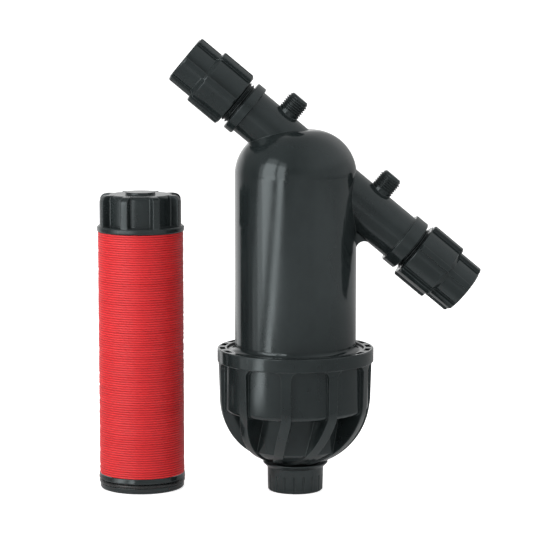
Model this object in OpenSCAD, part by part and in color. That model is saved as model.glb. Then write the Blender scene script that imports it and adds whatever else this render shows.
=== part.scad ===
// Irrigation disc filter: a Y-pattern housing on a screwed, ribbed bowl,
// with its disc cartridge taken out and standing beside it.
// Millimetres. +Z is up and z = 0 is the floor. The vessel's axis is the Z axis,
// and the slanted pipe line lies in the XZ plane.

/* [Vessel] */
// Outer radius of the vessel
vessel_r = 34.6; // [34:0.1:35.2]
// Wall of the vessel, the bowl's cup and the drain cap's floor
wall = 3; // [2.6:0.1:3.2]
// Height of the top of the dome over the floor
dome_top = 207.2; // [205.6:0.2:209]
// Corner radius of the dome
dome_corner = 25.5; // [24:0.5:28]
// Radius of the flange that sits in the bowl's rim
flange_r = 38.9; // [38.6:0.1:39.4]
// Fillet between the vessel and its flange
flange_fillet = 2.4; // [1.5:0.1:3]

/* [Pipe line] */
// Slope of the pipe line under the horizontal, in degrees
pipe_slope = 39.8; // [38.5:0.1:41]
// Height at which the pipe line crosses the vessel's axis
pipe_cross = 195.4; // [194:0.1:197]
// Outer radius of the inlet and outlet tubes
tube_r = 13.8; // [13.6:0.05:14.2]
// Radius of the waterway in the tubes
bore_r = 10; // [9:0.1:10.4]
// Distance from the crossing to the inlet collar's outer face
inlet_face = 40.3; // [39.5:0.1:42]
// Distance from the crossing to the outlet collar's outer face
outlet_face = 85.2; // [84:0.1:88]
// Outer radius of both collars
collar_r = 15.8; // [15.4:0.05:16.2]
// Thickness of the inlet collar
inlet_collar = 5.8; // [4.5:0.1:7]
// Thickness of the outlet collar
outlet_collar = 8.3; // [7:0.1:9.5]

/* [Threads] */
// Crest radius of the male pipe thread on the tubes (G 3/4)
port_r = 13.22; // [13.1:0.01:13.3]
// Pitch of that thread
port_pitch = 1.814; // [1.7:0.001:1.9]
// Crest radius of the gauge nipples' thread (G 1/4)
nipple_r = 6.58; // [6.4:0.01:6.8]
// Pitch of that thread
nipple_pitch = 1.337; // [1.3:0.001:1.4]
// Crest radius of the housing's male thread for the bowl
screw_r = 36.6; // [36.4:0.1:36.8]
// Pitch of the bowl's thread
screw_pitch = 4; // [3.6:0.1:4.4]
// Wall of the housing under that thread's crests
spigot_wall = 5; // [4.6:0.1:5.2]
// Crest radius of the drain nipple's thread
drain_r = 12.6; // [12.2:0.1:12.8]
// Pitch of the drain thread
drain_pitch = 2.5; // [2.2:0.1:2.8]
// Crest radius of the spine's thread for the knob
stud_r = 11; // [10.6:0.1:11.4]
// Pitch of the knob's thread
stud_pitch = 3; // [2.6:0.1:3.2]

/* [Gauge nipples] */
// Distance from the crossing to the nipple on the inlet side
inlet_nipple = 16.9; // [16:0.1:18]
// Distance from the crossing to the nipple on the outlet side
outlet_nipple = 51.7; // [51:0.1:53]
// Distance from the pipe line to a nipple's tip
nipple_tip = 24.6; // [24:0.1:26]

/* [Couplings] */
// Length of a coupling
coupling_len = 37.2; // [36.6:0.1:38]
// Wall radius of the coupling's wide end
wide_r = 16.4; // [16.2:0.1:16.8]
// Wall radius of the coupling's narrow end
narrow_r = 14; // [13.6:0.1:14.4]
// Height of the grip ribs
grip_h = 2.1; // [1.6:0.1:2.4]
// Width of the grip ribs
grip_w = 3.4; // [2.8:0.1:4]
// Number of grip ribs
grip_n = 6; // [5:1:8]
// Minor radius of the female thread in the narrow end (G 1/2)
socket_r = 9.32; // [9.2:0.01:9.5]
// Thread left in view between the inlet collar and its coupling
inlet_gap = 4; // [3.4:0.1:4.6]
// Thread left in view between the outlet collar and its coupling
outlet_gap = 2.6; // [2.2:0.1:3.2]
// Turn of the inlet coupling's ribs, in degrees
inlet_clock = 0; // [-15:1:15]
// Turn of the outlet coupling's ribs, in degrees
outlet_clock = 15; // [-15:1:25]

/* [Bowl] */
// Height of the bowl's rim over the floor
rim_top = 82.8; // [82.2:0.1:83.4]
// Outer radius of the rim
rim_r = 44.7; // [44.5:0.1:45.2]
// Height of the rim band
rim_h = 7.8; // [7.2:0.1:8.4]
// Radius of the rib edges where they start to sweep inwards
skirt_r = 43.6; // [43.4:0.1:43.9]
// How much wider the rib edges are just under the rim
rib_draft = 0.6; // [0:0.1:0.7]
// Radius of the sunk panels between the ribs
panel_r = 41.6; // [41.2:0.1:42]
// Height of the threaded ring's lower edge
ring_bottom = 46.7; // [46:0.1:48]
// Radius of the arc that the rib edges follow down to the drain
sweep_r = 40; // [39.5:0.1:40.5]
// Height of that arc's centre
sweep_z = 55; // [54.6:0.1:55.4]
// Height of the bowl's lower face
bowl_bottom = 17.4; // [17:0.1:17.8]
// Outer radius of the cup under the threaded ring
cup_r = 28.8; // [28.5:0.1:29.2]
// Number of ribs
rib_n = 10; // [8:1:12]
// Width of a rib
rib_w = 5.6; // [5:0.1:6.2]
// Turn of the first rib from the front, in degrees
rib_clock = -7.4; // [-18:0.1:18]
// Lean of the ribs under the ring, in degrees
rib_lean = 15; // [8:1:20]
// Number of pockets in the rim's top face
pocket_n = 20; // [16:1:24]

/* [Drain cap] */
// Height of the drain cap
cap_h = 16.6; // [16.2:0.1:16.8]
// Radius of the drain cap at its lower edge
cap_r = 15.7; // [15.4:0.1:16]
// Radius of the flared lip at its top
cap_lip_r = 18.6; // [18.2:0.1:19]
// Number of grip grooves
groove_n = 18; // [14:1:22]

/* [Cartridge] */
// Distance from the vessel's axis to the cartridge's axis, to the left
stand_x = 88.6; // [84:0.1:95]
// How far behind the vessel's axis the cartridge stands
stand_y = 8; // [0:0.5:12]
// Radius of the discs
disc_r = 24.5; // [24:0.05:24.7]
// Radius of the hole in the discs
disc_hole_r = 18; // [17.4:0.1:18.4]
// Number of discs
disc_n = 105; // [100:1:110]
// Thickness of a disc
disc_t = 1.334; // [1.3:0.002:1.36]
// Radius of the base flange and of the knob's flange
clamp_r = 24.95; // [24.75:0.05:25.3]
// Height of the cartridge's base
base_h = 8.7; // [8.4:0.1:9.2]
// Height of the knob
knob_h = 22.4; // [21.6:0.1:23]
// Radius over the knob's lobes
lobe_r = 24.3; // [23.6:0.1:24.6]
// Number of lobes
lobe_n = 8; // [6:1:10]

/* [Fits] */
// Radial clearance of a thread or a seal that turns in its bore
running = 0.06; // [0.03:0.01:0.1]
// Clearance between pieces that move past each other
free = 0.3; // [0.2:0.05:0.4]

/* [Hidden] */
$fn = 96;
eps = 0.01;
inner_r = vessel_r - wall;
seat_z = pipe_cross - 11;
seat_r = clamp_r + free;
flange_top = rim_top - 1;
flange_h = 3.4;
spigot_bottom = rim_top - 6 * screw_pitch;
spigot_bore_r = min(inner_r, screw_r - spigot_wall);
fillet_r = min(flange_fillet, flange_r - vessel_r);
female_r = screw_r + free;
seal_section = 1.6;
seal_groove_z = spigot_bottom + 3.6;
seal_r = female_r - seal_section - 0.1;
cup_floor = bowl_bottom + wall;
cup_inner_r = cup_r - wall;
ring_floor = ring_bottom + wall;
drain_end = wall + 2.1;
drain_bore_r = drain_r - 1.2 * wall;
gasket_t = 2 * wall / 3;
seat_u = 15.4;
shoulder_u = seat_u + gasket_t + 0.2;
inlet_near = inlet_face + inlet_gap;
outlet_near = outlet_face + outlet_gap;
inlet_end = inlet_near + seat_u;
outlet_end = outlet_near + seat_u;
pack_top = base_h + disc_n * disc_t;
stud_top = pack_top + 0.68 * knob_h;
neck_r = clamp_r - 2.4;
foot_h = 0.368 * base_h;
flange_z = 0.644 * base_h;
slot_w = 0.2 * disc_r;
slot_gap = 0.25 * disc_r;
slot_zone = pack_top - base_h - 0.83 * disc_r;
rib_pitch = 360 / rib_n;
black = "#2c3132";
rubber = "#191b1b";
red = "#d3302c";

// Puts its children on the inlet half of the pipe line, local Z pointing out of the inlet
module on_inlet(s = 0) {
  translate([0, 0, pipe_cross])
    rotate([0, pipe_slope - 90, 0])
      translate([0, 0, s])
        children();
}

// Puts its children on the outlet half of the pipe line, local Z pointing out of the outlet
module on_outlet(s = 0) {
  translate([0, 0, pipe_cross])
    rotate([0, pipe_slope + 90, 0])
      translate([0, 0, s])
        children();
}

// Puts its children on the cartridge's axis
module on_stand() {
  translate([-stand_x, stand_y, 0])
    children();
}

// A rod with the ridges of a male thread, drawn as parallel rings with narrow flat crests
module threaded_rod(crest, pitch, length, lead = 0.8) {
  depth = 0.6 * pitch;
  root = crest - depth;
  turns = floor((length - 2 * lead) / pitch);
  start = length - lead - turns * pitch;
  rings = [for (i = [0 : turns - 1]) each [
    [root, start + i * pitch],
    [crest, start + (i + 0.34) * pitch],
    [crest, start + (i + 0.56) * pitch],
    [root, start + (i + 0.9) * pitch]]];
  rotate_extrude()
    polygon(concat([[0, 0], [root, 0]], rings,
                   [[root, length - lead], [root - lead / 2, length], [0, length]]));
}

// A ring of rectangular section
module washer(r_out, r_in, h) {
  difference() {
    cylinder(r = r_out, h = h);
    translate([0, 0, -1])
      cylinder(r = r_in, h = h + 2);
  }
}

// An O-ring
module o_ring(r, section) {
  rotate_extrude()
    translate([r, 0])
      circle(r = section, $fn = 48);
}

// Fillet in the fork between the vessel and the outlet tube's underside
module fork_fillet(r, width) {
  reach = r / tan((90 - pipe_slope) / 2);
  along = (vessel_r + tube_r * sin(pipe_slope)) / cos(pipe_slope);
  end_x = reach * cos(pipe_slope);
  end_z = -reach * sin(pipe_slope);
  translate([vessel_r, 0, pipe_cross - along * sin(pipe_slope) - tube_r * cos(pipe_slope)])
    rotate([90, 0, 0])
      linear_extrude(height = width, center = true)
        difference() {
          polygon([[-2, -reach], [end_x, end_z], [end_x + 1.6, end_z + 1.9], [-2, 2.5]]);
          translate([r, -reach])
            circle(r = r + 0.4);
        }
}

// Half profile with a rounded top, from z0 up to the top
module domed_profile(r, top, corner, z0) {
  translate([0, z0])
    square([r, top - corner - z0]);
  translate([0, top - corner - eps])
    square([r - corner, corner + eps]);
  intersection() {
    translate([r - corner, top - corner])
      circle(r = corner);
    translate([0, top - corner - eps])
      square([r, corner + 1]);
  }
}

// One tube with its collar and male thread, standing on its local origin
module tube(face, collar_t, end, inner) {
  translate([0, 0, inner])
    cylinder(r = tube_r, h = face - inner - 0.5);
  translate([0, 0, face - collar_t])
    cylinder(r1 = collar_r - 0.5, r2 = collar_r, h = 0.5);
  translate([0, 0, face - collar_t + 0.5 - eps])
    cylinder(r = collar_r, h = collar_t - 1 + 2 * eps);
  translate([0, 0, face - 0.5])
    cylinder(r1 = collar_r, r2 = collar_r - 0.5, h = 0.5);
  translate([0, 0, face - 1])
    threaded_rod(port_r, port_pitch, end - face + 1);
}

// One gauge nipple along local Z, with a plain foot, a thread and a bevelled tip
module nipple() {
  thread_from = tube_r - 0.4;
  cylinder(r = nipple_r - 0.3, h = tube_r + 0.9);
  translate([0, 0, thread_from])
    threaded_rod(nipple_r, nipple_pitch, nipple_tip - thread_from - 1.4);
  translate([0, 0, nipple_tip - 1.6])
    cylinder(r1 = nipple_r - 0.5, r2 = nipple_r - 1.7, h = 1.6);
}

// Upper shell: vessel, tubes, nipples, flange and male thread in one moulding
module housing() {
  color(black)
    difference() {
      union() {
        rotate_extrude()
          domed_profile(vessel_r, dome_top, dome_corner, flange_top - flange_h);
        rotate_extrude()
          difference() {
            translate([0, flange_top - flange_h])
              square([flange_r, flange_h]);
            translate([flange_r - 0.5, flange_top - 0.5])
              rotate(45)
                translate([0.5, -1])
                  square([2, 2]);
          }
        rotate_extrude()
          difference() {
            translate([vessel_r - 1, flange_top - 1])
              square([fillet_r + 1, fillet_r + 1]);
            translate([vessel_r + fillet_r, flange_top + fillet_r])
              circle(r = fillet_r);
          }
        translate([0, 0, flange_top - flange_h + eps])
          mirror([0, 0, 1])
            threaded_rod(screw_r, screw_pitch, flange_top - flange_h - spigot_bottom, 5.6);
        on_inlet()
          tube(inlet_face, inlet_collar, inlet_end, -5);
        on_outlet()
          tube(outlet_face, outlet_collar, outlet_end, 25);
        fork_fillet(4.5, 5);
        on_inlet(inlet_nipple)
          rotate([0, 90, 0])
            nipple();
        on_outlet(outlet_nipple)
          rotate([0, -90, 0])
            nipple();
      }
      // annular space around the cartridge
      translate([0, 0, spigot_bottom - 1])
        cylinder(r = spigot_bore_r, h = flange_top - spigot_bottom + 1);
      translate([0, 0, flange_top - eps])
        cylinder(r = inner_r, h = seat_z - flange_top + eps);
      // seat for the cartridge's base and the chamber over it
      rotate_extrude()
        intersection() {
          domed_profile(vessel_r - wall, dome_top - wall, dome_corner - wall, seat_z - 1);
          square([seat_r, dome_top]);
        }
      translate([0, 0, seat_z - eps])
        cylinder(r1 = seat_r + 1.2, r2 = seat_r, h = 1.2);
      on_inlet(2)
        cylinder(r = bore_r, h = inlet_end);
      on_outlet(36)
        cylinder(r = bore_r, h = outlet_end);
      // groove for the bowl's O-ring
      translate([0, 0, seal_groove_z - seal_section - 0.2])
        washer(vessel_r + 8, seal_r - seal_section - running, 2 * seal_section + 0.4);
    }
}

// O-ring in the groove of the housing's male thread
module bowl_seal() {
  color(rubber)
    translate([0, 0, seal_groove_z])
      o_ring(seal_r, seal_section);
}

// Half profile inside the edges of the bowl's ribs, from the lower face up to the rim
module rib_profile() {
  intersection() {
    translate([skirt_r - sweep_r, sweep_z])
      circle(r = sweep_r);
    translate([0, bowl_bottom])
      square([skirt_r, sweep_z - bowl_bottom + eps]);
  }
  polygon([[0, sweep_z], [skirt_r, sweep_z], [skirt_r + rib_draft, rim_top - rim_h],
           [skirt_r + rib_draft, rim_top - rim_h + 1], [0, rim_top - rim_h + 1]]);
}

// Half profile of the cup under the ring, which stays inside the rib edges
module cup_profile() {
  intersection() {
    translate([skirt_r - sweep_r, sweep_z])
      circle(r = sweep_r - 0.9);
    translate([0, bowl_bottom])
      square([cup_r, ring_floor - bowl_bottom]);
  }
}

// Half profile of the cup's inside, one wall in from its outside
module cup_hollow() {
  intersection() {
    translate([skirt_r - sweep_r, sweep_z])
      circle(r = sweep_r - 0.9 - wall);
    translate([0, cup_floor])
      square([cup_inner_r, ring_floor - cup_floor + 1]);
  }
}

// Half profile of the threaded ring, with a rounded lower edge
module ring_profile() {
  round_r = 2.8;
  ring_h = rim_top - rim_h + 1 - ring_bottom;
  translate([0, ring_bottom + round_r])
    square([panel_r, ring_h - round_r]);
  translate([0, ring_bottom])
    square([panel_r - round_r, ring_h]);
  translate([panel_r - round_r, ring_bottom + round_r])
    circle(r = round_r);
}

// One rib beside the threaded ring, pointing along X, with fillets under the rim
module upright_rib(fillet) {
  deep = skirt_r - panel_r + 5;
  top = rim_top - rim_h;
  translate([panel_r - 3, -rib_w / 2, ring_bottom])
    cube([deep, rib_w, top - ring_bottom + 0.5]);
  for (side = [-1, 1])
    difference() {
      translate([panel_r - 3, side * (rib_w + fillet - 0.5) / 2 - (fillet + 0.5) / 2, top - fillet])
        cube([deep, fillet + 0.5, fillet + 0.5]);
      translate([panel_r - 4, side * (rib_w / 2 + fillet), top - fillet])
        rotate([0, 90, 0])
          cylinder(r = fillet + 0.12, h = deep + 2);
    }
}

// Ribs beside the threaded ring
module upright_ribs() {
  intersection() {
    for (k = [0 : rib_n - 1])
      rotate(rib_clock - 90 + k * rib_pitch)
        upright_rib(4.4);
    rotate_extrude()
      rib_profile();
  }
}

// Ribs under the ring, which lean over as they run down to the drain
module leaning_ribs() {
  intersection() {
    for (k = [0 : rib_n - 1])
      rotate(rib_clock - 90 + k * rib_pitch)
        translate([0, 0, ring_bottom + 0.5])
          rotate([-rib_lean, 0, 0])
            translate([0, -rib_w / 2, -ring_bottom])
              cube([skirt_r + 3, rib_w, ring_bottom]);
    rotate_extrude()
      rib_profile();
  }
}

// Lower shell: rim, threaded ring, ribs, cup and drain nipple in one moulding
module bowl() {
  color(black)
    difference() {
      union() {
        // rim band with broken edges
        translate([0, 0, rim_top - rim_h])
          cylinder(r1 = rim_r - 0.4, r2 = rim_r, h = 0.4);
        translate([0, 0, rim_top - rim_h + 0.4 - eps])
          cylinder(r = rim_r, h = rim_h - 0.8 + 2 * eps);
        translate([0, 0, rim_top - 0.4])
          cylinder(r1 = rim_r, r2 = rim_r - 0.4, h = 0.4);
        // threaded ring, the ribs beside it and those under it
        rotate_extrude()
          ring_profile();
        upright_ribs();
        leaning_ribs();
        rotate_extrude()
          cup_profile();
        translate([0, 0, bowl_bottom + 1])
          mirror([0, 0, 1])
            threaded_rod(drain_r, drain_pitch, bowl_bottom + 1 - drain_end, 1.2);
      }
      // thread and counterbore for the housing
      translate([0, 0, ring_floor])
        cylinder(r = female_r, h = rim_top);
      translate([0, 0, flange_top - flange_h - free])
        cylinder(r = flange_r + free, h = rim_top);
      // cup and drain
      rotate_extrude()
        cup_hollow();
      translate([0, 0, -1])
        cylinder(r = drain_bore_r, h = cup_floor + 2);
      // pockets that lighten the rim
      for (k = [0 : pocket_n - 1])
        rotate(k * 360 / pocket_n)
          translate([0, 0, rim_top - 5])
            rotate_extrude(angle = 216 / pocket_n)
              translate([flange_r + free + 1.1, 0])
                square([rim_r - flange_r - free - 2.5, 6]);
    }
}

// Screw cap on the drain nipple, with a flared lip and grip grooves
module drain_cap() {
  color(black)
    difference() {
      union() {
        cylinder(r1 = cap_r - 0.6, r2 = cap_r, h = 0.6);
        translate([0, 0, 0.6])
          cylinder(r1 = cap_r, r2 = cap_r + 0.4, h = cap_h - 3.6);
        translate([0, 0, cap_h - 3.1])
          cylinder(r1 = cap_r + 0.3, r2 = cap_lip_r, h = 2.5);
        translate([0, 0, cap_h - 0.6])
          cylinder(r = cap_lip_r, h = 0.6);
      }
      translate([0, 0, wall])
        cylinder(r = drain_r + free, h = cap_h);
      for (k = [0 : groove_n - 1])
        rotate((k + 0.35) * 360 / groove_n)
          translate([cap_r + 0.35, 0, -1]) {
            cylinder(r = 0.75, h = cap_h - 6.4);
            translate([0, 0, cap_h - 6.4])
              sphere(r = 0.75);
          }
    }
}

// Flat gasket between the drain cap and the drain nipple
module drain_gasket() {
  color(rubber)
    translate([0, 0, wall + 0.05])
      washer(drain_r - 0.2, drain_bore_r + 0.2, gasket_t);
}

// Half profile of a coupling's wall
module coupling_profile() {
  polygon([[0, 0], [wide_r - 0.5, 0], [wide_r, 0.5], [wide_r, 20.2], [narrow_r, 23],
           [narrow_r, coupling_len - 0.8], [narrow_r - 0.8, coupling_len], [0, coupling_len]]);
}

// Half profile over a coupling's grip ribs, with rounded steps
module grip_profile() {
  round_r = 1.2;
  wide = wide_r + grip_h;
  narrow = narrow_r + grip_h - 0.2;
  translate([0, round_r])
    square([wide, 20.4 - round_r]);
  translate([0, 0.4])
    square([wide - round_r, 21.2]);
  translate([wide - round_r, 0.4 + round_r])
    circle(r = round_r);
  translate([wide - round_r, 21.6 - round_r])
    circle(r = round_r);
  translate([0, 20])
    square([narrow, coupling_len - 20.4 - round_r]);
  translate([0, 20])
    square([narrow - round_r, coupling_len - 20.4]);
  translate([narrow - round_r, coupling_len - 0.4 - round_r])
    circle(r = round_r);
}

// Reducing coupling: wide end on the tube's thread, narrow end for the pipe
module coupling(clock) {
  difference() {
    union() {
      rotate_extrude()
        coupling_profile();
      intersection() {
        for (k = [0 : grip_n - 1])
          rotate(clock + k * 360 / grip_n)
            translate([0, -grip_w / 2, 0])
              cube([wide_r + 4, grip_w, coupling_len]);
        rotate_extrude()
          grip_profile();
      }
    }
    translate([0, 0, -1])
      cylinder(r = port_r + running, h = shoulder_u + 1);
    translate([0, 0, -eps])
      cylinder(r1 = port_r + 0.9, r2 = port_r, h = 0.9);
    translate([0, 0, shoulder_u - 1])
      cylinder(r = socket_r - 0.7, h = coupling_len);
    translate([0, 0, shoulder_u + 3])
      cylinder(r = socket_r, h = coupling_len);
    translate([0, 0, coupling_len - 1.1])
      cylinder(r1 = socket_r, r2 = socket_r + 1.15, h = 1.1 + eps);
  }
}

// Coupling on the inlet tube
module inlet_coupling() {
  color(black)
    on_inlet(inlet_near)
      coupling(inlet_clock - 90);
}

// Coupling on the outlet tube
module outlet_coupling() {
  color(black)
    on_outlet(outlet_near)
      coupling(-outlet_clock - 90);
}

// Flat gasket between a tube's end and the coupling's shoulder
module port_gasket() {
  translate([0, 0, seat_u + 0.1])
    washer(port_r - 0.3, socket_r, gasket_t);
}

// Gasket in the inlet coupling
module inlet_gasket() {
  color(rubber)
    on_inlet(inlet_near)
      port_gasket();
}

// Gasket in the outlet coupling
module outlet_gasket() {
  color(rubber)
    on_outlet(outlet_near)
      port_gasket();
}

// Core of the cartridge: base, ribbed and slotted tube, and the thread for the knob
module cartridge_spine() {
  tube_out = disc_hole_r - 3.4;
  color(black)
    on_stand()
      difference() {
        union() {
          // foot ring with a rounded lower edge
          rotate_extrude() {
            translate([0, 1.2])
              square([clamp_r - 0.75, foot_h - 1.2]);
            square([clamp_r - 1.95, foot_h]);
            translate([clamp_r - 1.95, 1.2])
              circle(r = 1.2);
          }
          cylinder(r = neck_r, h = base_h);
          // flange under the discs
          translate([0, 0, flange_z])
            cylinder(r1 = clamp_r - 0.5, r2 = clamp_r, h = 0.6);
          translate([0, 0, flange_z + 0.6 - eps])
            cylinder(r1 = clamp_r, r2 = disc_r + 0.1, h = base_h - flange_z - 0.6 + eps);
          // tube, six guide ribs and the stud
          cylinder(r = tube_out, h = pack_top - 2);
          for (k = [0 : 5])
            rotate(k * 60)
              translate([0, -1.4, 1])
                cube([disc_hole_r - free, 2.8, pack_top - 4]);
          translate([0, 0, pack_top - 8])
            threaded_rod(stud_r, stud_pitch, stud_top - pack_top + 8, 1.2);
        }
        // waterway, open at the base
        translate([0, 0, -1])
          cylinder(r = tube_out - 2.6, h = pack_top - 9);
        translate([0, 0, -eps])
          cylinder(r1 = tube_out + 3.4, r2 = tube_out - 2.6, h = 6);
        translate([0, 0, 1])
          cylinder(r = stud_r - 4.4, h = stud_top);
        // slots that let the water into the core
        for (k = [0 : 2])
          for (row = [0 : 4])
            rotate(k * 60 + 30)
              translate([-disc_r + 2, -slot_w / 2, base_h + slot_gap + row * slot_zone / 5])
                cube([2 * disc_r - 4, slot_w, slot_zone / 5 - slot_gap]);
      }
}

// Rubber ring around the neck of the base
module cartridge_seal() {
  seal_h = flange_z - foot_h - 0.2;
  color(rubber)
    on_stand()
      rotate_extrude() {
        translate([neck_r + running, foot_h])
          square([1.2, seal_h]);
        translate([neck_r + 1.1, foot_h + seal_h / 2])
          circle(r = seal_h / 2, $fn = 48);
      }
}

// The discs, squeezed into one pack with a groove between each two rims
module disc_pack() {
  bevel = 0.36;
  rims = [for (i = [0 : disc_n - 1]) each [
    [disc_r - bevel, base_h + i * disc_t],
    [disc_r, base_h + (i + 0.3) * disc_t],
    [disc_r, base_h + (i + 0.7) * disc_t]]];
  color(red)
    on_stand()
      rotate_extrude()
        polygon(concat([[disc_hole_r, base_h]], rims,
                       [[disc_r - bevel, pack_top], [disc_hole_r, pack_top]]));
}

// Screw knob that clamps the discs, with lobes between open recesses
module cartridge_knob() {
  core_r = 0.8 * lobe_r;
  color(black)
    on_stand()
      translate([0, 0, pack_top])
        difference() {
          union() {
            // flange on the discs
            translate([0, 0, 0.1])
              cylinder(r1 = clamp_r - 0.4, r2 = clamp_r, h = 0.5);
            translate([0, 0, 0.6 - eps])
              cylinder(r = clamp_r, h = 2 + 2 * eps);
            translate([0, 0, 2.6])
              cylinder(r1 = clamp_r, r2 = clamp_r - 0.8, h = 0.8);
            // core and lobes share one rounded profile
            rotate_extrude()
              domed_profile(core_r, knob_h - 1.3, 2.6, 1);
            intersection() {
              rotate_extrude()
                domed_profile(lobe_r, knob_h - 1.3, 3.8, 1);
              for (k = [0 : lobe_n - 1])
                rotate(-90 - 19.6 + k * 360 / lobe_n)
                  translate([0, -2.1, 0])
                    cube([lobe_r + 1, 4.2, knob_h]);
            }
            cylinder(r = 8.6, h = knob_h);
          }
          // blind thread for the spine
          translate([0, 0, -1])
            cylinder(r = stud_r + running, h = stud_top - pack_top + gasket_t + 1.2);
          translate([0, 0, -eps])
            cylinder(r1 = stud_r + 1.4, r2 = stud_r, h = 1.4);
        }
}

// Gasket between the spine's end and the knob
module knob_seal() {
  color(rubber)
    on_stand()
      translate([0, 0, stud_top + 0.1])
        washer(stud_r - 0.3, stud_r - 4, gasket_t);
}

housing();
bowl();
bowl_seal();
drain_cap();
drain_gasket();
inlet_coupling();
inlet_gasket();
outlet_coupling();
outlet_gasket();
cartridge_spine();
disc_pack();
cartridge_knob();
knob_seal();
cartridge_seal();
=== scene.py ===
import math
import random

import bmesh
import bpy
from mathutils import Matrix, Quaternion, Vector


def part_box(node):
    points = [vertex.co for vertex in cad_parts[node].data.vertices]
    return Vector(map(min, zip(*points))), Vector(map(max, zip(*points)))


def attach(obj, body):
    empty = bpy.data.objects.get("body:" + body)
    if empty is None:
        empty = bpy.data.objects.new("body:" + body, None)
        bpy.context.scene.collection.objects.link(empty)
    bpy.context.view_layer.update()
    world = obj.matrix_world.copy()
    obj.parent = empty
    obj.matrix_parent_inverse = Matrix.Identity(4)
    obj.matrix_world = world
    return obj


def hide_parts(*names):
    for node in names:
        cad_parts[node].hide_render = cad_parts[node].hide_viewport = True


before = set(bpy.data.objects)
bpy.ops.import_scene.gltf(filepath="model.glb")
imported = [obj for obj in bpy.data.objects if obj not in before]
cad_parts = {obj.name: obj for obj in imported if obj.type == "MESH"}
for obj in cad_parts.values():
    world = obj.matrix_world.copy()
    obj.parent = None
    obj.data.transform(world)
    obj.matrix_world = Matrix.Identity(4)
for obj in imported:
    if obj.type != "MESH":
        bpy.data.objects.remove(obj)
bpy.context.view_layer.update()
scene = bpy.context.scene
scene.view_settings.view_transform = "Standard"

# Blender's unit is the metre, and sizes in millimetres are multiplied by this
MM = 0.001

# Disc stack, with its lengths in millimetres
DISC_COUNT = 105
DISC_BORE_R = 18.0
DISC_THICKNESS_SHARE = 0.05   # share by which a disc is thicker or thinner than the mean
DISC_SHIFT = 0.07             # spread of a disc's shift off the axis
DISC_SHIFT_MOST = 0.16
DISC_SHORT_MOST = 0.05        # how much smaller than the widest disc one may be
DISC_TILT_MOST = 0.05
GROOVE_DEPTH = 0.30
GROOVE_DEPTH_SPREAD = 0.14
SHOULDER_DEPTH = 0.10
RING_POINTS = 120
STACK_SEED = 41

# Table top: its left edge is near, so that reflections show the streak panels below its level
TABLE_CORNERS = [(-0.57, -5.0), (2.6, -5.0), (2.6, 3.2), (-0.46, 3.2), (-0.28, 0.3), (-0.28, -0.28),
                 (-0.44, -0.42), (-0.51, -0.70), (-0.59, -1.02), (-0.62, -1.46), (-0.57, -2.0)]
TABLE_Z = -0.2 * MM

# Strengths of the room and the table
WHITE_TO_CAMERA = 1.3         # the white that the camera sees round the table
TABLE_TO_CAMERA = 0.8         # what the table adds to its own colour for the camera
ROOM_STRENGTH = 0.20          # the dim room that lights the object and shows in reflections

# Upright plane of the panels that make the highlights
PANEL_DISTANCE = 1.2
PANEL_TURN_DEG = 55.0         # from the front to the left
PANEL_ZERO_Z = -0.012         # height at which the spans below are zero
STREAK_LEAN_DEG = 17.0        # of the streak's panels, from level

# Panels of the slanted double streak: name, span along the lean, span across it, radiance
STREAK_PANELS = [
    ("streak_left", (-0.40, 0.20), (0.012, 0.19), 4.0),
    ("streak_left_fade", (0.20, 0.45), (0.012, 0.19), 2.1),
    ("streak_left_end", (0.45, 0.80), (0.012, 0.19), 0.8),
    ("streak_right", (-0.78, 0.62), (-0.155, -0.07), 4.6),
]

# Upright panels that carry the streak on over the dome, in the same form
DOME_PANELS = [
    ("dome_left", (-0.33, 0.20), (0.175, 0.90), 3.6),
    ("dome_left_fade", (0.20, 0.42), (0.130, 0.80), 1.0),
    ("dome_left_end", (-0.33, 0.20), (0.90, 1.30), 1.3),
    ("dome_right", (-0.82, -0.43), (0.105, 0.90), 3.1),
    ("dome_right_end", (-0.82, -0.43), (0.90, 1.20), 1.1),
]

# Lamps that light matt surfaces only: name, place, target, size, power in watts
LAMPS = [
    ("key_left", (-0.95, -0.74, 0.10), (0.0, 0.0, 0.05), (0.52, 1.2), 8.0),
    ("side_left", (-1.05, -0.30, 0.62), (0.0, 0.0, 0.10), (0.6, 0.8), 6.0),
    ("top", (-0.15, -0.25, 1.25), (0.0, 0.0, 0.1), (1.1, 0.9), 5.0),
    ("high_right", (0.95, -0.35, 1.0), (0.0, 0.0, 0.12), (1.5, 1.4), 2.0),
    ("fill_right", (1.2, -0.9, 0.55), (0.0, 0.0, 0.12), (0.9, 1.1), 2.8),
]

# Camera, as it fits the photograph's frame
PHOTO_WIDTH_PX = 550.0
FOCAL_LENGTH_PX = 2390.0
SENSOR_WIDTH_MM = 36.0
CAMERA_AT = (-0.0117, -1.3505, 0.3033)
CAMERA_DOWN_DEG = 7.55
CAMERA_CLIP = (0.05, 60.0)


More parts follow.
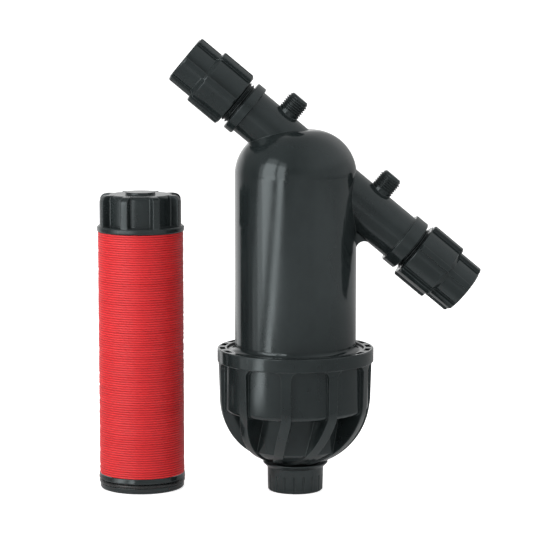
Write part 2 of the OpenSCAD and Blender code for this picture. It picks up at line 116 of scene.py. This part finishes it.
# Node helpers
class Tree:
    """The node tree of a new material or world, with short calls for the nodes used here."""

    def __init__(self, name, world=False):
        self.owner = bpy.data.worlds.new(name) if world else bpy.data.materials.new(name)
        self.owner.use_nodes = True
        self.tree = self.owner.node_tree
        self.tree.nodes.clear()
        self.out = self.add("ShaderNodeOutputWorld" if world else "ShaderNodeOutputMaterial")

    def add(self, kind, **props):
        node = self.tree.nodes.new(kind)
        for key, value in props.items():
            setattr(node, key, value)
        return node

    def link(self, output, target):
        self.tree.links.new(output, target)

    def place(self):
        """A point's place on the object, in metres."""
        return self.add("ShaderNodeTexCoord").outputs["Object"]

    def split(self, vector):
        """The X, Y and Z outputs of a vector."""
        node = self.add("ShaderNodeSeparateXYZ")
        self.link(vector, node.inputs[0])
        return node.outputs["X"], node.outputs["Y"], node.outputs["Z"]

    def noise(self, vector, scale, detail=3.0, rough=0.55):
        node = self.add("ShaderNodeTexNoise")
        node.inputs["Scale"].default_value = scale
        node.inputs["Detail"].default_value = detail
        node.inputs["Roughness"].default_value = rough
        self.link(vector, node.inputs["Vector"])
        return node.outputs["Fac"]

    def ramp(self, fac, stops):
        node = self.add("ShaderNodeValToRGB")
        elements = node.color_ramp.elements
        while len(elements) > 1:
            elements.remove(elements[-1])
        for i, (position, colour) in enumerate(stops):
            stop = elements[0] if i == 0 else elements.new(position)
            stop.position = position
            stop.color = (*colour, 1.0)
        self.link(fac, node.inputs["Fac"])
        return node.outputs["Color"]

    def span(self, value, source, target=(0.0, 1.0), smooth=False):
        """Carries the source range over to the target range, in a straight line or as an S curve."""
        node = self.add("ShaderNodeMapRange")
        if smooth:
            node.interpolation_type = "SMOOTHSTEP"
        for key, number in zip(("From Min", "From Max", "To Min", "To Max"), (*source, *target)):
            node.inputs[key].default_value = number
        self.link(value, node.inputs["Value"])
        return node.outputs["Result"]

    def fade(self, value, source, target=(0.0, 1.0)):
        return self.span(value, source, target, smooth=True)

    def math(self, operation, a, b):
        node = self.add("ShaderNodeMath", operation=operation)
        for socket, value in zip(node.inputs, (a, b)):
            if isinstance(value, (int, float)):
                socket.default_value = value
            else:
                self.link(value, socket)
        return node.outputs[0]

    def times(self, a, b):
        return self.math("MULTIPLY", a, b)

    def plus(self, a, b):
        return self.math("ADD", a, b)

    def mix(self, fac, a, b):
        """A colour between a and b, each of which is a colour or an output."""
        # The node's colours are its inputs 6 and 7 and its output 2
        node = self.add("ShaderNodeMix", data_type="RGBA")
        self.link(fac, node.inputs[0])
        for socket, value in ((node.inputs[6], a), (node.inputs[7], b)):
            if isinstance(value, tuple):
                socket.default_value = (*value, 1.0)
            else:
                self.link(value, socket)
        return node.outputs[2]

    def bump(self, height, strength, distance, normal=None):
        node = self.add("ShaderNodeBump")
        node.inputs["Strength"].default_value = strength
        node.inputs["Distance"].default_value = distance
        self.link(height, node.inputs["Height"])
        if normal is not None:
            self.link(normal, node.inputs["Normal"])
        return node.outputs["Normal"]

    def surface(self, colour, rough, normal, specular):
        """Ends a material in one principled shader."""
        shader = self.add("ShaderNodeBsdfPrincipled")
        shader.inputs["Specular IOR Level"].default_value = specular
        self.link(colour, shader.inputs["Base Color"])
        self.link(rough, shader.inputs["Roughness"])
        self.link(normal, shader.inputs["Normal"])
        self.link(shader.outputs[0], self.out.inputs[0])
        return shader


# Materials
def plastic(name, dark, light, edge_wear_and_highlight, rough, grain, grain_scale, edge_mm):
    """Moulded plastic: mottled colour, fine spark-eroded grain, softened edges made paler by wear and by a
    painted highlight.
    """
    t = Tree(name)
    place = t.place()
    broad = t.noise(place, scale=46.0, detail=4.0, rough=0.6)
    fine = t.noise(place, scale=grain_scale, detail=2.0, rough=0.6)
    stretch = t.add("ShaderNodeMapping")
    stretch.inputs["Scale"].default_value = (1.0, 1.0, 0.16)
    t.link(place, stretch.inputs["Vector"])
    flow = t.noise(stretch.outputs["Vector"], scale=210.0, detail=3.0, rough=0.5)

    # The rounded normal leaves the flat one only along edges, where the plastic is paler: partly scuffs,
    # partly a painted highlight
    rounded = t.add("ShaderNodeBevel", samples=6)
    rounded.inputs["Radius"].default_value = edge_mm * MM
    flat = t.add("ShaderNodeNewGeometry").outputs["Normal"]
    agreement = t.add("ShaderNodeVectorMath", operation="DOT_PRODUCT")
    t.link(rounded.outputs["Normal"], agreement.inputs[0])
    t.link(flat, agreement.inputs[1])
    rim = t.span(agreement.outputs["Value"], (0.995, 0.86))
    wear_and_painted_highlight = t.times(rim, t.span(broad, (0.35, 0.7), (0.25, 1.0)))

    colour = t.mix(t.span(broad, (0.3, 0.7)), dark, light)
    colour = t.mix(t.span(flow, (0.4, 0.72), (0.0, 0.35)), colour, light)
    # Painted highlight together with wear: edges are mixed toward the pale edge colour
    colour = t.mix(t.times(wear_and_painted_highlight, 0.55), colour, edge_wear_and_highlight)
    uneven = t.plus(t.span(broad, (0.3, 0.7), (rough - 0.02, rough + 0.02)),
                    t.span(fine, (0.3, 0.7), (-0.02, 0.03)))
    waves = t.bump(flow, strength=0.06, distance=0.05 * MM, normal=rounded.outputs["Normal"])
    grains = t.bump(fine, strength=grain, distance=0.05 * MM, normal=waves)
    shader = t.surface(colour, uneven, grains, specular=0.5)
    shader.inputs["Specular Tint"].default_value = (0.90, 1.0, 1.02, 1.0)
    return t.owner


def disc_plastic(name):
    """Red discs: each has a random tone of its own, and painted shade darkens the grooves."""
    t = Tree(name)
    place = t.place()
    shade = t.add("ShaderNodeAttribute", attribute_name="disc_shade").outputs["Fac"]
    # The groove attribute holds painted shade for the grooves between discs
    depth = t.add("ShaderNodeAttribute", attribute_name="groove").outputs["Fac"]
    broad = t.noise(place, scale=60.0)
    fine = t.noise(place, scale=1500.0, detail=2.0, rough=0.6)
    tone = t.plus(t.times(shade, 0.4), t.times(broad, 0.6))
    colour = t.ramp(tone, [(0.2, (0.64, 0.012, 0.016)),
                           (0.5, (0.68, 0.015, 0.019)),
                           (0.8, (0.72, 0.020, 0.024))])
    # Painted shade: the grooves between discs are darkened toward a deep red
    colour = t.mix(t.span(depth, (0.0, 1.0), (0.0, 0.85)), colour, (0.30, 0.004, 0.008))
    grains = t.bump(fine, strength=0.25, distance=0.04 * MM)
    t.surface(colour, t.span(fine, (0.3, 0.7), (0.46, 0.58)), grains, specular=0.4)
    return t.owner


def rubber(name):
    """Smooth black rubber of the gaskets and rings."""
    t = Tree(name)
    place = t.place()
    broad = t.noise(place, scale=90.0, rough=0.6)
    fine = t.noise(place, scale=1800.0, detail=2.0, rough=0.6)
    colour = t.ramp(broad, [(0.3, (0.006, 0.007, 0.007)), (0.7, (0.016, 0.017, 0.017))])
    grains = t.bump(fine, strength=0.2, distance=0.03 * MM)
    t.surface(colour, t.span(fine, (0.3, 0.7), (0.2, 0.34)), grains, specular=0.5)
    return t.owner


BLACK = plastic("black_polypropylene", dark=(0.0098, 0.0130, 0.0134), light=(0.0150, 0.0196, 0.0200),
                edge_wear_and_highlight=(0.075, 0.084, 0.084), rough=0.13, grain=0.12, grain_scale=1150.0, edge_mm=0.6)
KNOB = plastic("black_knob", dark=(0.0090, 0.0118, 0.0122), light=(0.0140, 0.0180, 0.0184),
               edge_wear_and_highlight=(0.075, 0.082, 0.084), rough=0.24, grain=0.18, grain_scale=1400.0, edge_mm=1.3)
RUBBER = rubber("black_rubber")
RED = disc_plastic("red_discs")


def dress(material, *nodes):
    """Gives CAD nodes their material."""
    for node in nodes:
        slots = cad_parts[node].data.materials
        slots.clear()
        slots.append(material)


dress(BLACK, "housing", "bowl", "drain_cap", "inlet_coupling", "outlet_coupling", "cartridge_spine")
dress(KNOB, "cartridge_knob")
dress(RED, "disc_pack")
dress(RUBBER, "bowl_seal", "drain_gasket", "inlet_gasket", "outlet_gasket", "knob_seal", "cartridge_seal")


# Disc stack
def disc_stack():
    """The pressed stack, each disc with a small shift, tilt, size and shade of its own."""
    low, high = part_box("disc_pack")
    centre_x, centre_y = (low[0] + high[0]) / 2, (low[1] + high[1]) / 2
    widest = (high[0] - low[0]) / 2
    bottom, top = low[2], high[2]
    rnd = random.Random(STACK_SEED)
    weights = [1.0 + rnd.uniform(-DISC_THICKNESS_SHARE, DISC_THICKNESS_SHARE) for _ in range(DISC_COUNT)]
    total = sum(weights)
    bm = bmesh.new()
    shade_layer = bm.verts.layers.float.new("disc_shade")
    # Painted shade in the grooves between discs, read by the red material
    groove_shade_layer = bm.verts.layers.float.new("groove")

    def ring(radius, z, painted_groove_shade, shade=0.5, shift=(0.0, 0.0), tilt=0.0, phase=0.0):
        verts = []
        for k in range(RING_POINTS):
            angle = 2 * math.pi * k / RING_POINTS
            vert = bm.verts.new((centre_x + shift[0] + radius * math.cos(angle),
                                 centre_y + shift[1] + radius * math.sin(angle),
                                 z + tilt * math.cos(angle - phase)))
            vert[shade_layer] = shade
            vert[groove_shade_layer] = painted_groove_shade
            verts.append(vert)
        return verts

    def wall(a, b):
        for k in range(RING_POINTS):
            after = (k + 1) % RING_POINTS
            bm.faces.new((a[k], a[after], b[after], b[k])).smooth = True

    z = bottom
    rings = []
    for i, weight in enumerate(weights):
        thick = (top - bottom) * weight / total
        way = rnd.uniform(0, 2 * math.pi)
        off = min(abs(rnd.gauss(0, DISC_SHIFT)), DISC_SHIFT_MOST) * MM
        radius = widest - off - rnd.uniform(0.0, DISC_SHORT_MOST) * MM
        tilt = rnd.uniform(-DISC_TILT_MOST, DISC_TILT_MOST) * MM
        phase = rnd.uniform(0, 2 * math.pi)
        shade = rnd.random()
        groove = (GROOVE_DEPTH + GROOVE_DEPTH_SPREAD * rnd.random()) * MM
        shoulder = SHOULDER_DEPTH * MM
        # The end discs lie flat on their neighbours
        if i in (0, DISC_COUNT - 1):
            tilt = 0.0
        shift = (off * math.cos(way), off * math.sin(way))
        # Each row: share of the thickness, depth below the rim, how much painted groove shade it gets
        for share, depth, painted_groove_shade in ((0.03, groove, 1.0), (0.14, shoulder, 0.45), (0.34, 0.0, 0.0),
                                       (0.66, 0.0, 0.0), (0.86, shoulder, 0.45), (0.97, groove, 1.0)):
            rings.append(ring(radius - depth, z + share * thick, painted_groove_shade, shade, shift, tilt, phase))
        z += thick
    for a, b in zip(rings, rings[1:]):
        wall(a, b)
    bore_low = ring(DISC_BORE_R * MM, bottom, 1.0)
    bore_high = ring(DISC_BORE_R * MM, top, 1.0)
    wall(bore_high, bore_low)
    wall(bore_low, rings[0])
    wall(rings[-1], bore_high)

    mesh = bpy.data.meshes.new("disc_stack")
    bm.to_mesh(mesh)
    bm.free()
    mesh.materials.append(RED)
    obj = bpy.data.objects.new("disc_stack", mesh)
    scene.collection.objects.link(obj)
    obj.visible_glossy = False
    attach(obj, "cartridge")
    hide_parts("disc_pack")


disc_stack()


# Stage
def table_material():
    """White to the camera. In reflections alone it shows painted reflections: dim round the object, and
    glowing behind it and far off though it is no lamp.
    """
    t = Tree("pale_floor")
    place = t.place()
    x, y, _ = t.split(place)
    rays = t.add("ShaderNodeLightPath").outputs
    length = t.add("ShaderNodeVectorMath", operation="LENGTH")
    t.link(place, length.inputs[0])
    away = length.outputs["Value"]

    pale = t.ramp(t.noise(place, scale=6.0), [(0.3, (0.82, 0.82, 0.82)), (0.7, (0.84, 0.84, 0.84))])
    # Painted reflection: to glossy rays the table is darkened round the object
    dim = t.times(t.fade(away, (0.90, 0.50), (0.0, 0.5)), t.fade(away, (0.08, 0.20)))
    diffuse = t.add("ShaderNodeBsdfDiffuse")
    t.link(t.mix(t.times(dim, rays["Is Glossy Ray"]), pale, (0.0, 0.0, 0.0)), diffuse.inputs["Color"])

    # Painted reflection: to glossy rays the table glows behind the object and far off in front
    behind = t.times(t.fade(y, (0.45, 1.0), (0.0, 0.55)), t.fade(x, (0.15, -0.05)))
    in_front = t.times(t.fade(y, (0.8, 0.2)), t.fade(x, (-0.4, 0.0)))
    far = t.times(t.fade(away, (1.0, 2.8), (0.0, 0.22)), in_front)
    painted_reflection_glow = t.times(rays["Is Glossy Ray"], t.plus(behind, far))
    seen = t.math("MAXIMUM", rays["Is Camera Ray"], rays["Is Transmission Ray"])
    glow = t.add("ShaderNodeEmission")
    t.link(t.plus(t.times(seen, TABLE_TO_CAMERA), painted_reflection_glow), glow.inputs["Strength"])

    both = t.add("ShaderNodeAddShader")
    t.link(diffuse.outputs[0], both.inputs[0])
    t.link(glow.outputs[0], both.inputs[1])
    t.link(both.outputs[0], t.out.inputs[0])
    return t.owner


def table():
    """The table top, just below the object's foot."""
    mesh = bpy.data.meshes.new("floor")
    mesh.from_pydata([(x, y, 0) for x, y in TABLE_CORNERS], [], [tuple(range(len(TABLE_CORNERS)))])
    mesh.materials.append(table_material())
    obj = bpy.data.objects.new("floor", mesh)
    scene.collection.objects.link(obj)
    obj.location.z = TABLE_Z


def room():
    """White to the camera. To the rest it is a dim room, white behind the object and paler on the right."""
    t = Tree("studio", world=True)
    scene.world = t.owner
    x, y, z = t.split(t.add("ShaderNodeTexCoord").outputs["Generated"])
    behind = t.times(t.fade(y, (0.40, 0.80), (0.0, 0.95)), t.fade(x, (0.2, -0.1), (0.16, 1.0)))
    behind = t.times(behind, t.fade(z, (0.16, 0.34), (1.0, 0.3)))
    above = t.fade(z, (0.05, 0.6), (0.0, 0.16))
    right = t.times(t.fade(x, (-0.10, 0.80), (0.0, 0.42)), t.fade(z, (-0.1, 0.4)))
    horizon = t.times(t.fade(z, (-0.10, 0.0), (0.0, 0.30)), t.fade(z, (0.30, 0.04)))
    horizon = t.times(horizon, t.times(t.fade(x, (-0.40, -0.10)), t.fade(y, (0.7, 0.3))))
    lit = t.plus(t.plus(behind, above), t.plus(right, horizon))

    # The node's numbers are its inputs 2 and 3
    strength = t.add("ShaderNodeMix", data_type="FLOAT")
    t.link(t.add("ShaderNodeLightPath").outputs["Is Camera Ray"], strength.inputs[0])
    t.link(t.plus(lit, ROOM_STRENGTH), strength.inputs[2])
    strength.inputs[3].default_value = WHITE_TO_CAMERA
    back = t.add("ShaderNodeBackground")
    back.inputs["Color"].default_value = (1, 1, 1, 1)
    t.link(strength.outputs[0], back.inputs["Strength"])
    t.link(back.outputs[0], t.out.inputs[0])


# Lights
def softbox(name, at, aim, size, power, roll_deg=0.0, mirror_only=False):
    """An area lamp that the camera doesn't see, for matt surfaces alone or for reflections alone."""
    lamp = bpy.data.lights.new(name, "AREA")
    lamp.shape = "RECTANGLE"
    lamp.size, lamp.size_y = size
    lamp.energy = power
    obj = bpy.data.objects.new(name, lamp)
    scene.collection.objects.link(obj)
    obj.location = at
    look = (Vector(aim) - Vector(at)).to_track_quat("-Z", "Y")
    obj.rotation_euler = (look @ Quaternion((0, 0, 1), math.radians(roll_deg))).to_euler()
    obj.visible_camera = False
    obj.visible_glossy = mirror_only
    obj.visible_diffuse = not mirror_only


def panel(name, along, across, radiance, lean_deg):
    """A panel for reflections alone, from its spans along and across its lean in the panels' plane."""
    tilt = math.radians(lean_deg)
    turn = math.radians(PANEL_TURN_DEG)
    mid_along, mid_across = sum(along) / 2, sum(across) / 2
    out = Vector((-math.sin(turn), -math.cos(turn), 0.0))
    left = Vector((-math.cos(turn), math.sin(turn), 0.0))
    sideways = mid_along * math.cos(tilt) + mid_across * math.sin(tilt)
    height = PANEL_ZERO_Z - mid_along * math.sin(tilt) + mid_across * math.cos(tilt)
    at = PANEL_DISTANCE * out + sideways * left + Vector((0.0, 0.0, height))
    size = (across[1] - across[0], along[1] - along[0])
    power = radiance * math.pi * size[0] * size[1]
    softbox(name, at, at - out, size, power, roll_deg=lean_deg - 90.0, mirror_only=True)


table()
room()
for name, along, across, radiance in STREAK_PANELS:
    panel(name, along, across, radiance, STREAK_LEAN_DEG)
for name, along, across, radiance in DOME_PANELS:
    panel(name, along, across, radiance, lean_deg=0.0)
for name, at, aim, size, power in LAMPS:
    softbox(name, at, aim, size, power)

# Camera
camera = bpy.data.cameras.new("camera")
camera.sensor_fit = "HORIZONTAL"
camera.sensor_width = SENSOR_WIDTH_MM
camera.lens = FOCAL_LENGTH_PX * SENSOR_WIDTH_MM / PHOTO_WIDTH_PX
camera.clip_start, camera.clip_end = CAMERA_CLIP
eye = bpy.data.objects.new("camera", camera)
scene.collection.objects.link(eye)
eye.location = CAMERA_AT
eye.rotation_euler = (math.radians(90.0 - CAMERA_DOWN_DEG), 0.0, 0.0)
scene.camera = eye
